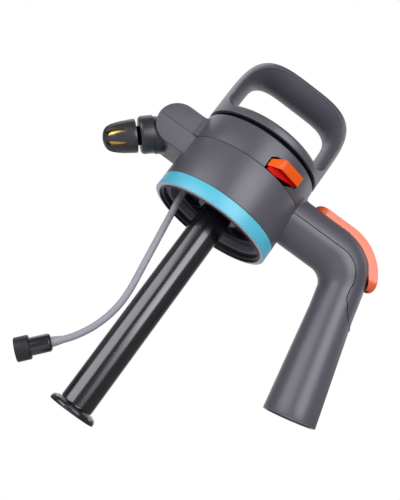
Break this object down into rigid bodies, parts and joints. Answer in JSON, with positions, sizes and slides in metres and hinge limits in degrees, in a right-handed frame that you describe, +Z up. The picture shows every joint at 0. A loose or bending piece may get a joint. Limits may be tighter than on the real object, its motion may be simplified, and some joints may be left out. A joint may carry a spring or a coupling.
{
  "type": "pressure sprayer pump head",
  "caption": "Pump head of a hand pressure sprayer: D-handle, ringed tank cap, pump barrel, dip hose with strainer, pistol grip with trigger, relief tab and tilting spray nozzle.",
  "frame": {"origin": "on the pump axis, in the plane of the skirt's bottom rim, where the head meets a tank's neck", "axes": "+Z up the pump axis to the D-handle, +X to the trigger grip, -X to the nozzle"},
  "size_m": [0.2952, 0.1127, 0.3507],
  "materials": {
    "grey_plastic": "satin",
    "black_plastic": "satin",
    "gloss_black": "gloss",
    "blue_plastic": "gloss",
    "trigger_orange": "satin",
    "relief_orange": "gloss",
    "clear_hose": "gloss",
    "white_plastic": "satin",
    "seal_rubber": "matte",
    "gasket_rubber": "matte",
    "brass": "satin",
    "steel": "satin"
  },
  "bodies": {
    "housing": {"lower_shell": "grey_plastic", "upper_shell": "grey_plastic", "accent_ring": "blue_plastic", "tank_collar": "black_plastic", "tank_gasket": "gasket_rubber", "ceiling_plate": "black_plastic", "case_screws": "steel", "pump_barrel": "gloss_black", "barrel_seal": "seal_rubber", "rod_guide": "black_plastic", "foot_flange": "gloss_black", "foot_valve": "seal_rubber", "hose_gland": "black_plastic", "dip_hose": "clear_hose", "strainer_body": "gloss_black", "strainer_cap": "black_plastic", "strainer_screen": "steel", "grip_shell": "grey_plastic", "grip_cover": "grey_plastic", "grip_plug": "black_plastic", "trigger_pin": "steel", "valve_body": "black_plastic", "valve_gland": "white_plastic", "valve_spring": "steel", "inlet_tube": "clear_hose", "outlet_tube": "clear_hose", "relief_seat": "black_plastic", "relief_seal": "seal_rubber", "relief_spring": "steel", "swivel_port": "seal_rubber"},
    "piston_group": {"pump_piston": "white_plastic", "piston_seal": "seal_rubber"},
    "handle_group": {"pump_rod": "steel", "piston_screw": "steel", "handle_hub": "black_plastic", "d_handle": "grey_plastic"},
    "trigger": {"trigger_lever": "trigger_orange"},
    "plunger": {"valve_plunger": "white_plastic", "plunger_seal": "seal_rubber"},
    "relief": {"relief_tab": "relief_orange", "relief_clip": "white_plastic"},
    "nozzle": {"swivel_body": "black_plastic", "stem_seal": "seal_rubber", "nozzle_collar": "black_plastic", "nozzle_stem": "black_plastic"},
    "nozzle_cap": {"spray_cap": "black_plastic", "brass_insert": "brass"}
  },
  "joints": [
    {"name": "pump_stroke", "type": "slide", "parent": "housing", "child": "piston_group", "axis": [0, 0, 1], "range_m": [0, 0.15]},
    {"name": "handle_turn", "type": "hinge", "parent": "piston_group", "child": "handle_group", "pos_m": [0, 0, 0.08], "axis": [0, 0, 1], "continuous": true},
    {"name": "trigger_press", "type": "hinge", "parent": "housing", "child": "trigger", "pos_m": [0.08, 0, 0.062], "axis": [0, 1, 0], "range_deg": [0, 4.5], "stiffness_Nm_per_rad": 1.5, "springref_deg": -11.46},
    {"name": "valve_press", "type": "slide", "parent": "housing", "child": "plunger", "axis": [0, 0, -1], "range_m": [0, 0.0017], "deforming": ["valve_spring"]},
    {"name": "relief_pull", "type": "slide", "parent": "housing", "child": "relief", "axis": [0.454, -0.891, 0], "range_m": [0, 0.004], "stiffness_N_per_m": 900, "springref_m": -0.002, "deforming": ["relief_spring"]},
    {"name": "nozzle_tilt", "type": "hinge", "parent": "housing", "child": "nozzle", "pos_m": [-0.071, 0, 0.0504], "axis": [0, 1, 0], "range_deg": [0, 50]},
    {"name": "nozzle_cap_turn", "type": "hinge", "parent": "nozzle", "child": "nozzle_cap", "pos_m": [-0.09642, 0, 0.02593], "axis": [-0.766, 0, -0.6428], "range_deg": [0, 270]}
  ],
  "couplings": [
    {"joint": "valve_press", "follows": "trigger_press", "m_per_rad": 0.02}
  ]
}
